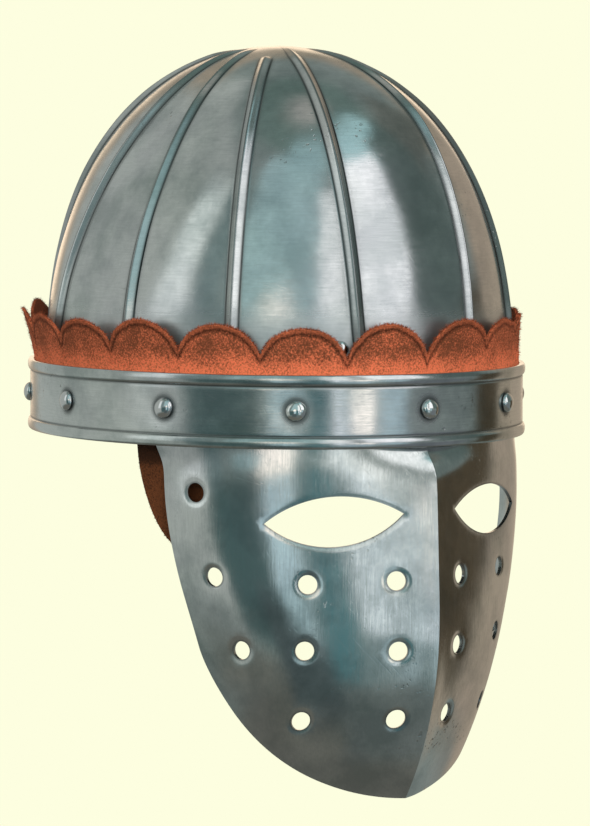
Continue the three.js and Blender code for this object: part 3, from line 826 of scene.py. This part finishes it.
def trim_nap():
    """Fibres along the trim's cut edge and over its outer face."""
    rng = np.random.default_rng(7)
    where = rng.uniform(0, 1, EDGE_FIBRES)
    t = brow_angle(where * BROW_GIRTH)
    edge = scallop_top(where)
    depth = rng.uniform(0, SUEDE, EDGE_FIBRES)
    roots = brow_point(t, TRIM_INSET + depth - trim_lean(where, edge), edge)
    outward = brow_outward(t)
    step = 1e-4
    slope = (scallop_top(where + step) - scallop_top(where - step)) / (2 * step * BROW_GIRTH)
    along = np.cross([0, 0, 1], outward)
    up = unit([0, 0, 1] - along * np.clip(slope, -1.2, 1.2)[:, None])

    where = rng.uniform(0, 1, FACE_FIBRES)
    t = brow_angle(where * BROW_GIRTH)
    share = rng.uniform(0.05, 1, FACE_FIBRES)
    z = TRIM_FREE_Z + share * (scallop_top(where) - TRIM_FREE_Z - 0.5)
    face_roots = brow_point(t, TRIM_INSET + 0.05 - trim_lean(where, z), z)
    face_outward = brow_outward(t)
    face_up = face_outward * 0.9 + [0, 0, 0.5]

    fibres = nap_fibres(
        "trim_edge_nap", np.concatenate([roots, face_roots]), np.concatenate([outward, face_outward]),
        np.concatenate([up, face_up]), np.repeat([1.6, 1.2], [EDGE_FIBRES, FACE_FIBRES]),
        finish_named("trim_suede"), 11,
    )
    # Edge fibres take the cut edge's tone, and some of them part of the painted crease shadow.
    gaps = np.concatenate([rng.uniform(0.3, 1.9, EDGE_FIBRES), np.full(FACE_FIBRES, OPEN_NAP)])
    set_values(fibres, "edge_gap", np.repeat(gaps, FIBRE_POINTS))
    heights = np.concatenate([np.ones(EDGE_FIBRES), trim_height(z)])
    set_values(fibres, "height", np.repeat(heights, FIBRE_POINTS))
    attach(fibres, "root")
    return fibres


def build_trim():
    points, gap, height, top = trim_sections()
    piece = ring_piece("scalloped_suede_trim", points, finish_named("trim_suede"), 80)
    set_values(piece, "edge_gap", gap)
    set_values(piece, "height", height)
    settle(piece, "trim_suede", "suede_trim")
    fibres = trim_nap()

    return piece


# ---- face plate ----

SHEET_STEP = 2.1
HOLE_SIDES = 28


def bezier(points, count):
    a, b, c, d = (np.array(p, float) for p in points)
    v = np.linspace(0, 1, count)[:, None]
    return (1 - v) ** 3 * a + 3 * (1 - v) ** 2 * v * b + 3 * (1 - v) * v**2 * c + v**3 * d


def plate_half_outline():
    """The unrolled plate's edge from the top of the crease round to the chin, on the wearer's left."""
    top = np.array([[s, PLATE_TOP_Z] for s in np.arange(0, 119, 3.0)])
    side = np.array([[PLATE_REACH, z] for z in np.arange(PLATE_TOP_Z, -12, -2.4)])
    rear = bezier(REAR_EDGE, 32)
    jaw = bezier(JAW_EDGE, 64)[1:-1]
    return np.concatenate([top[1:], side, rear, jaw])


def eye_slot(side):
    """Outline of an eye slot on the unrolled plate."""
    def arc(rise, start, end, count):
        x = np.linspace(start, end, count, endpoint=False)
        radius = (EYE_HALF_LENGTH**2 + rise**2) / (2 * rise)
        return x, np.sqrt(radius**2 - x**2) - (radius - rise)

    upper_x, upper_y = arc(EYE_UPPER, EYE_HALF_LENGTH, -EYE_HALF_LENGTH, 36)
    lower_x, lower_y = arc(EYE_LOWER, -EYE_HALF_LENGTH, EYE_HALF_LENGTH, 36)
    x = np.concatenate([upper_x, lower_x])
    y = np.concatenate([upper_y, -lower_y])
    s = EYE_MIDDLE[0] + x * math.cos(EYE_TILT) - y * math.sin(EYE_TILT)
    z = EYE_MIDDLE[1] + x * math.sin(EYE_TILT) + y * math.cos(EYE_TILT)
    if side > 0:
        z = z + LEFT_RISE_BASE + LEFT_RISE_SLOPE * s
    return np.stack([side * s, z], -1)


def breath_centres():
    centres = []
    for side in (-1, 1):
        for s, z in BREATHS:
            lift = LEFT_RISE_BASE + LEFT_RISE_SLOPE * s if side > 0 else 0
            centres.append((side * s, z + lift))
    return np.array(centres)


def inside_loop(points, loop):
    """True for each point inside a closed loop on the unrolled plate."""
    x, y = points[:, 0], points[:, 1]
    found = np.zeros(len(points), bool)
    ends = np.roll(loop, -1, axis=0)
    for (x0, y0), (x1, y1) in zip(loop, ends):
        crosses = (y0 > y) != (y1 > y)
        if not crosses.any():
            continue
        meet = x0 + (y - y0) * (x1 - x0) / (y1 - y0 + 1e-12)
        found ^= crosses & (x < meet)
    return found


def loop_distance(points, loop):
    """Distance from each point to the nearest point of a closed loop."""
    ends = np.roll(loop, -1, axis=0)
    best = np.full(len(points), 1e9)
    for a, b in zip(loop, ends):
        span = b - a
        along = np.clip(((points - a) @ span) / max(span @ span, 1e-12), 0, 1)
        gap = np.linalg.norm(points - (a + along[:, None] * span), axis=1)
        best = np.minimum(best, gap)
    return best


def plate_sheet():
    """The unrolled plate cut into triangles: its points, its triangles and its openings."""
    half = plate_half_outline()
    outline = np.concatenate([[[0, PLATE_TOP_Z]], half, [[0, CHIN_Z]], (half * [-1, 1])[::-1]])
    centres = breath_centres()
    turn = np.arange(HOLE_SIDES) * TAU / HOLE_SIDES
    circle = np.stack([np.cos(turn), np.sin(turn)], -1)
    slots = [eye_slot(-1), eye_slot(1)]
    holes = [centre + BREATH_RADIUS * circle for centre in centres] + slots
    columns = np.concatenate([[0, 0.4, 1.0, 1.9, 3.2], np.arange(5, 120, SHEET_STEP)])
    columns = np.concatenate([-columns[:0:-1], columns])
    rows = np.arange(PLATE_TOP_Z - 1.2, -148, -SHEET_STEP)
    field = np.stack(np.meshgrid(columns, rows), -1).reshape(-1, 2)
    keep = inside_loop(field, outline) & (loop_distance(field, outline) > 0.9)
    for hole in holes:
        near = np.linalg.norm(field - hole.mean(0), axis=1) < 40
        gap = np.full(len(field), 99.0)
        gap[near] = loop_distance(field[near], hole)
        keep &= ~inside_loop(field, hole) & (gap > 3.2)
    field = field[keep]
    rings = [centre + (BREATH_RADIUS + gap) * circle for centre in centres for gap in RING_GAPS]
    for slot in slots:
        tangent = np.roll(slot, -1, 0) - np.roll(slot, 1, 0)
        normal = unit(np.stack([tangent[:, 1], -tangent[:, 0]], -1))
        outward = np.sign(((slot - slot.mean(0)) * normal).sum(1))[:, None] * normal
        rings += [slot + outward * gap for gap in RING_GAPS]
    loops = [outline, *holes]
    points, edges = [], []
    for loop in loops:
        start = len(points)
        points += loop.tolist()
        edges += [(start + i, start + (i + 1) % len(loop)) for i in range(len(loop))]
    crease_z = np.append(rows, -148.0)
    start = len(points)
    points += [[0.0, z] for z in crease_z]
    edges += [(start + i, start + i + 1) for i in range(len(crease_z) - 1)]
    points += [p for p in field.tolist() if abs(p[0]) > 1e-6]
    for ring in rings:
        points += ring.tolist()
    found = delaunay_2d_cdt([Vector(p) for p in points], edges, [], 0, 1e-4)
    flat = np.array([list(p) for p in found[0]])
    triangles = np.array([list(f) for f in found[2]])
    middles = flat[triangles].mean(1)
    keep = inside_loop(middles, outline)
    for hole in holes:
        keep &= ~inside_loop(middles, hole)
    return flat, triangles[keep], centres, holes


def build_plate():
    """Wraps the unrolled sheet round the brow and the crease, and gives it its thickness."""
    flat, triangles, centres, holes = plate_sheet()
    used = np.unique(triangles)
    renumber = -np.ones(len(flat), int)
    renumber[used] = np.arange(len(used))
    flat, triangles = flat[used], renumber[triangles]
    s, z = flat[:, 0], flat[:, 1]
    shaped = plate_point(s, z)
    normal = plate_outward(s, z)
    waves = 0.3 * unevenness(shaped, 42, 9) + 0.1 * unevenness(shaped, 15, 10)
    waves *= smooth((-z - 3) / 12) * smooth((np.abs(s) - 0.5) / 8)
    # Painted shade: dark rims round the breath holes and eye slots.
    grime = np.zeros(len(flat))
    for centre in centres:
        gap = np.linalg.norm(flat - centre, axis=1) - BREATH_RADIUS
        waves -= 0.4 * bell(gap, 1.3)
        grime = np.maximum(grime, 0.7 * bell(gap, 0.5))
    for hole in holes[-2:]:
        gap = loop_distance(flat, hole)
        waves -= 0.25 * bell(gap, 1.2)
        grime = np.maximum(grime, 0.45 * bell(gap, 0.4))
    outer = shaped + normal * waves[:, None]
    edge_count = {}
    for a, b, c in triangles:
        for pair in ((a, b), (b, c), (c, a)):
            key = (min(pair), max(pair))
            edge_count.setdefault(key, []).append(pair)
    border = [pairs[0] for pairs in edge_count.values() if len(pairs) == 1]
    inner = plate_point(s, z, SHEET) + normal * waves[:, None]
    size = len(flat)
    points = np.concatenate([outer, inner])
    first = outer[triangles[0]]
    facing = np.cross(first[1] - first[0], first[2] - first[0]) @ normal[triangles[0][0]]
    if facing < 0:
        triangles = triangles[:, ::-1]
        border = [(b, a) for a, b in border]
    faces = triangles.tolist() + (triangles[:, ::-1] + size).tolist()
    faces += [[b, a, a + size, b + size] for a, b in border]
    piece = make_piece("creased_face_plate", points, faces, finish_named("plate_steel"), 38)
    set_values(piece, "grime", np.concatenate([grime, 0 * grime]))
    soften = piece.modifiers.new("worn edges", "BEVEL")
    soften.width = 0.00022
    soften.segments = 2
    soften.limit_method = "ANGLE"
    soften.angle_limit = 60 * DEG
    return settle(piece, "plate_steel", "face_plate")


# ---- temple flap ----

FLAP_FIBRES = 1500


def build_flap():
    rounding = FLAP_ROUND_Z - FLAP_BOTTOM_Z
    straight = np.linspace(FLAP_TOP_Z, FLAP_ROUND_Z, 14)
    turned = FLAP_ROUND_Z - rounding * np.sin(np.linspace(0, 88, 40)[1:] * DEG)
    zs = np.concatenate([straight, turned])
    across = np.linspace(-1, 1, 41)
    drop = np.maximum(0, FLAP_ROUND_Z - zs) / rounding
    half = FLAP_HALF_ANGLE * np.sqrt(1 - drop**2)
    t = FLAP_MIDDLE + half[:, None] * across[None, :]
    z = np.repeat(zs[:, None], len(across), 1)
    lean = FLAP_LEAN * np.maximum(0, -z)
    layers = [brow_point(t, FLAP_INSET + lean, z), brow_point(t, FLAP_INSET + SUEDE + lean, z)]
    waves = 0.35 * unevenness(layers[0], 22, 14) * smooth((-z - 2) / 14)
    outward = brow_outward(t)
    layers = [layer + outward * np.minimum(waves, 0.15)[..., None] for layer in layers]
    rows, columns = z.shape
    size = rows * columns
    faces = grid_faces(rows, columns, False, 0, True) + grid_faces(rows, columns, False, size)
    border = [(0, c) for c in range(columns - 1)] + [(r, columns - 1) for r in range(rows - 1)]
    border += [(rows - 1, c) for c in range(columns - 1, 0, -1)] + [(r, 0) for r in range(rows - 1, 0, -1)]
    ids = [r * columns + c for r, c in border]
    faces += [[a, b, b + size, a + size] for a, b in zip(ids, ids[1:] + ids[:1])]
    points = np.concatenate([layer.reshape(-1, 3) for layer in layers])
    piece = make_piece("hanging_temple_flap", points, faces, finish_named("flap_suede"), 60)
    # Painted shadow under the band: the flap's upper part is darkened through height and through edge_gap,
    # which gives it the dark crease colour.
    set_values(piece, "height", smooth((points[:, 2] + 12) / 8))
    set_values(piece, "edge_gap", 2.1 + 6 * smooth((-points[:, 2] - 7) / 7))
    settle(piece, "flap_suede", "temple_flap")

    rng = np.random.default_rng(23)
    pick = rng.integers(0, len(ids), FLAP_FIBRES)
    share = rng.uniform(0, 1, (FLAP_FIBRES, 1))
    first = layers[0].reshape(-1, 3)
    here, following = np.array(ids)[pick], np.array(ids[1:] + ids[:1])[pick]
    out = outward.reshape(-1, 3)[here]
    roots = first[here] * share + first[following] * (1 - share) - out * rng.uniform(0, SUEDE, (FLAP_FIBRES, 1))
    away = roots - first.mean(0)
    away = unit(away - out * (away * out).sum(1, keepdims=True))
    keep = roots[:, 2] < -4
    lengths = np.full(keep.sum(), 0.9)
    fibres = nap_fibres("flap_edge_nap", roots[keep], out[keep], away[keep], lengths,
                        finish_named("flap_suede"), 29)
    set_values(fibres, "edge_gap", np.full(FIBRE_POINTS * len(lengths), OPEN_NAP))
    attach(fibres, "root")

    return piece


# ---- studio ----

CAMERA_AZIMUTH, CAMERA_PITCH, CAMERA_ROLL = -33.4 * DEG, 4.2 * DEG, 0.2 * DEG
CAMERA_DISTANCE, CAMERA_ACROSS, CAMERA_UP = 1.7, 0.0089, 0.0068
LENS_MM = 169.1
CREAM = (0.983, 0.991, 0.745)
# The sweep, in metres: a flat floor, a bend and a wall, from far below the helmet to far above it.
FLOOR_Z, FLOOR_RADIUS, BEND_RADIUS, BEND_MIDDLE_Z, WALL_RADIUS = -1.0, 2.6, 1.4, 0.4, 4.0
WALL_TOP_Z, LID_Z = 6.0, 6.5
LIGHT_DISTANCE, LAMP_COLOUR = 2.2, (1.0, 0.97, 0.93)


def direction_at(a, e):
    """From the helmet towards an azimuth and an elevation in radians."""
    return Vector((math.sin(a) * math.cos(e), -math.cos(a) * math.cos(e), math.sin(e)))


def view_axes():
    """The camera's level right, and its own right, up and back directions."""
    back = direction_at(CAMERA_AZIMUTH, CAMERA_PITCH)
    right = Vector((math.cos(CAMERA_AZIMUTH), math.sin(CAMERA_AZIMUTH), 0))
    up = back.cross(right)
    rolled_right = right * math.cos(CAMERA_ROLL) + up * math.sin(CAMERA_ROLL)
    rolled_up = up * math.cos(CAMERA_ROLL) - right * math.sin(CAMERA_ROLL)
    return right, rolled_right, rolled_up, back


def build_camera():
    right, rolled_right, rolled_up, back = view_axes()
    target = right * CAMERA_ACROSS + Vector((0, 0, CAMERA_UP))
    data = bpy.data.cameras.new("camera")
    data.lens = LENS_MM
    data.sensor_width = 36
    data.clip_start = 0.05
    data.clip_end = 60
    camera = bpy.data.objects.new("camera", data)
    bpy.context.scene.collection.objects.link(camera)
    place = Matrix((rolled_right, rolled_up, back)).transposed().to_4x4()
    place.translation = target + back * CAMERA_DISTANCE
    camera.matrix_world = place
    bpy.context.scene.camera = camera


def build_sweep():
    """A plain cream floor that curves up into a wall all round."""
    profile = [(0.0, FLOOR_Z), (FLOOR_RADIUS, FLOOR_Z)]
    for a in np.linspace(0, 90, 13)[1:]:
        radius = FLOOR_RADIUS + BEND_RADIUS * math.sin(a * DEG)
        profile.append((radius, BEND_MIDDLE_Z - BEND_RADIUS * math.cos(a * DEG)))
    profile += [(WALL_RADIUS, WALL_TOP_Z), (0.0, LID_Z)]
    sides = 96
    points, faces = [], []
    for radius, z in profile:
        for k in range(sides):
            a = k * TAU / sides
            points.append((radius * math.cos(a) / MM, radius * math.sin(a) / MM, z / MM))
    faces = grid_faces(len(profile), sides, True, 0, True)
    sweep = make_piece("cream_sweep", points, faces, glow_material("cream_paper", CREAM))
    sweep.visible_diffuse = False
    sweep.visible_glossy = False
    sweep.visible_transmission = False
    sweep.visible_shadow = False


# The share of the light that falls on it that the steel gives back.
STEEL_SHARE = 0.62
# What the steel sees round it: name, azimuth, elevation, half width, half height, softness, and the colour that
# the steel shows. Angles are in degrees, azimuth from the helmet's front towards the wearer's left. Later ones
# lie over earlier ones, and a part over 255 is brighter than white.
SURROUNDINGS = (
    ("low floor", 0, -62, 200, 30, 8, (88, 89, 83)),
    ("high ceiling", 0, 82, 200, 20, 10, (87, 105, 100)),
    ("warm ceiling", 150, 88, 200, 8, 10, (138, 139, 134)),
    ("right wall", 137, 6, 47, 30, 9, (139, 128, 113)),
    ("right wall glow", 150, 8, 18, 12, 12, (245, 220, 190)),
    ("left wall", -136, 14, 48, 40, 8, (143, 149, 145)),
    ("left wall glow", -103, 20, 10, 22, 8, (199, 206, 204)),
    ("left gap", -84, 22, 7, 24, 6, (102, 119, 119)),
    ("ceiling light", 34, 59, 32, 12, 15, (145, 177, 180)),
    ("cool panel", -45, 32, 25, 26, 5, (141, 166, 167)),
    ("cool panel top", -32, 60, 22, 10, 14, (127, 154, 156)),
    ("dim doorway", 57, 30, 21, 30, 4, (79, 92, 89)),
    ("dim corner", 90, 44, 18, 13, 7, (94, 98, 93)),
    ("low right", 38, -24, 24, 17, 7, (94, 100, 103)),
    ("brown curtain", 80, -10, 11, 16, 5, (63, 55, 42)),
    ("dark left", -68, -14, 18, 14, 9, (60, 81, 81)),
    ("low left", -42, -30, 22, 14, 9, (69, 79, 80)),
    ("pale floor patch", -42, -8, 7, 10, 6, (162, 185, 191)),
    ("small window", -45, 6, 9, 6, 4, (246, 239, 228)),
    ("cool gap", -26, -14, 5.5, 16, 4, (65, 102, 107)),
    ("narrow window", -16, 22, 7, 21, 3, (228, 231, 230)),
    ("low front", -12, -42, 16, 13, 6, (90, 97, 95)),
    ("low strip", -6, -14, 9.5, 14, 4, (145, 163, 169)),
    ("bright strip", -16.3, -4, 1.9, 9, 1.5, (229, 236, 241)),
    ("bright slit", -3, -3, 6, 4, 2.5, (272, 264, 253)),
    ("tall window", 16, 29, 17, 25, 3, (235, 237, 238)),
    ("tall window foot", 14, -6, 8, 8, 5, (146, 168, 174)),
)
# What it sees anywhere else.
ROOM = (108, 118, 115)


def linear(colour):
    """Linear light from a colour on the usual 0 to 255 scale."""
    parts = [c / 255 for c in colour]
    return [c / 12.92 if c <= 0.04045 else ((c + 0.055) / 1.055) ** 2.4 for c in parts]


def build_world():
    """Surrounds the helmet with the soft patches that its steel reflects."""
    world = bpy.data.worlds.new("studio")
    world.use_nodes = True
    tree = world.node_tree

    def add(kind, operation=None, values=()):
        made = tree.nodes.new("ShaderNode" + kind)
        if operation:
            made.operation = operation
        for i, value in enumerate(values):
            if isinstance(value, bpy.types.NodeSocket):
                tree.links.new(value, made.inputs[i])
            elif value is not None:
                made.inputs[i].default_value = value
        return made

    toward = add("SeparateXYZ", values=[add("TexCoord").outputs["Generated"]]).outputs
    back = add("Math", "MULTIPLY", (toward["Y"], -1.0)).outputs[0]
    azimuth = add("Math", "ARCTAN2", (toward["X"], back)).outputs[0]
    elevation = add("Math", "ARCSINE", (toward["Z"],)).outputs[0]

    def window(value, half, soft):
        """1 inside half a width either way, falling softly to 0 outside it."""
        size = add("Math", "ABSOLUTE", (value,)).outputs[0]
        ramp = add("MapRange", values=[size, (half - soft / 2) * DEG, (half + soft / 2) * DEG, 1.0, 0.0])
        ramp.interpolation_type = "SMOOTHSTEP"
        return ramp.outputs["Result"]

    colour = [c / STEEL_SHARE for c in linear(ROOM)]
    for name, at, height, half_width, half_height, soft, shade in SURROUNDINGS:
        aside = add("Math", "SUBTRACT", (azimuth, at * DEG)).outputs[0]
        aside = add("Math", "WRAP", (aside, math.pi, -math.pi)).outputs[0]
        above = add("Math", "SUBTRACT", (elevation, height * DEG)).outputs[0]
        share = add("Math", "MULTIPLY", (window(aside, half_width, soft), window(above, half_height, soft)))
        mix = tree.nodes.new("ShaderNodeMix")
        mix.data_type = "RGBA"
        mix.label = name
        tree.links.new(share.outputs[0], mix.inputs["Factor"])
        if isinstance(colour, list):
            mix.inputs["A"].default_value = (*colour, 1)
        else:
            tree.links.new(colour, mix.inputs["A"])
        mix.inputs["B"].default_value = (*[c / STEEL_SHARE for c in linear(shade)], 1)
        colour = mix.outputs["Result"]
    tree.links.new(colour, tree.nodes["Background"].inputs["Color"])
    tree.nodes["Background"].inputs["Strength"].default_value = 1.0
    bpy.context.scene.world = world


def add_light(name, azimuth, elevation, size, power):
    """A soft rectangular light facing the helmet's middle. The steel doesn't mirror it."""
    direction = direction_at(azimuth * DEG, elevation * DEG)
    data = bpy.data.lights.new(name, "AREA")
    data.shape = "RECTANGLE"
    data.size = data.size_y = size
    data.energy = power
    data.color = LAMP_COLOUR
    light = bpy.data.objects.new(name, data)
    light.location = direction * LIGHT_DISTANCE
    light.rotation_euler = direction.to_track_quat("Z", "Y").to_euler()
    light.visible_glossy = False
    bpy.context.scene.collection.objects.link(light)


def build_lights():
    add_light("front_light", -10, 42, 1.0, 34)
    add_light("left_light", -80, 30, 1.2, 15)


# ---- operators ----

class HELMET_OT_skull(bpy.types.Operator):
    """Builds the ribbed skull."""

    bl_idname = "helmet.skull"
    bl_label = "Ribbed skull"

    def execute(self, context):
        build_skull()
        return {"FINISHED"}


class HELMET_OT_band(bpy.types.Operator):
    """Builds the brow band with its rolled edges."""

    bl_idname = "helmet.band"
    bl_label = "Brow band"

    def execute(self, context):
        build_band()
        return {"FINISHED"}


class HELMET_OT_rivets(bpy.types.Operator):
    """Builds the domed rivets of the band and of the liner."""

    bl_idname = "helmet.rivets"
    bl_label = "Rivets"

    def execute(self, context):
        build_rivets()
        return {"FINISHED"}


class HELMET_OT_trim(bpy.types.Operator):
    """Builds the scalloped suede trim and its nap."""

    bl_idname = "helmet.trim"
    bl_label = "Suede trim"

    def execute(self, context):
        build_trim()
        return {"FINISHED"}


class HELMET_OT_plate(bpy.types.Operator):
    """Builds the creased face plate with its eye slots and breath holes."""

    bl_idname = "helmet.plate"
    bl_label = "Face plate"

    def execute(self, context):
        build_plate()
        return {"FINISHED"}


class HELMET_OT_flap(bpy.types.Operator):
    """Builds the suede flap inside the right temple."""

    bl_idname = "helmet.flap"
    bl_label = "Temple flap"

    def execute(self, context):
        build_flap()
        return {"FINISHED"}


class HELMET_OT_studio(bpy.types.Operator):
    """Builds the camera, the plain cream floor and the soft lights."""

    bl_idname = "helmet.studio"
    bl_label = "Studio"

    def execute(self, context):
        bpy.context.scene.view_settings.view_transform = "Standard"
        build_camera()
        build_sweep()
        build_world()
        build_lights()
        return {"FINISHED"}


OPERATORS = (
    HELMET_OT_skull, HELMET_OT_band, HELMET_OT_rivets, HELMET_OT_trim,
    HELMET_OT_plate, HELMET_OT_flap, HELMET_OT_studio,
)


class HELMET_PT_panel(bpy.types.Panel):
    """Lists the helmet's pieces and its settings."""

    bl_idname = "HELMET_PT_panel"
    bl_label = "Ribbed helmet"
    bl_space_type = "VIEW_3D"
    bl_region_type = "UI"
    bl_category = "Helmet"

    def draw(self, context):
        column = self.layout.column()
        for name in HelmetSettings.__annotations__:
            column.prop(context.scene.helmet, name)
        for operator in OPERATORS:
            column.operator(operator.bl_idname)


CLASSES = (HelmetSettings, *OPERATORS, HELMET_PT_panel)


def register():
    for kind in CLASSES:
        bpy.utils.register_class(kind)
    bpy.types.Scene.helmet = PointerProperty(type=HelmetSettings)


def unregister():
    del bpy.types.Scene.helmet
    for kind in reversed(CLASSES):
        bpy.utils.unregister_class(kind)


def main():
    register()
    for operator in OPERATORS:
        group, name = operator.bl_idname.split(".")
        getattr(getattr(bpy.ops, group), name)()


if __name__ == "__main__":
    main()
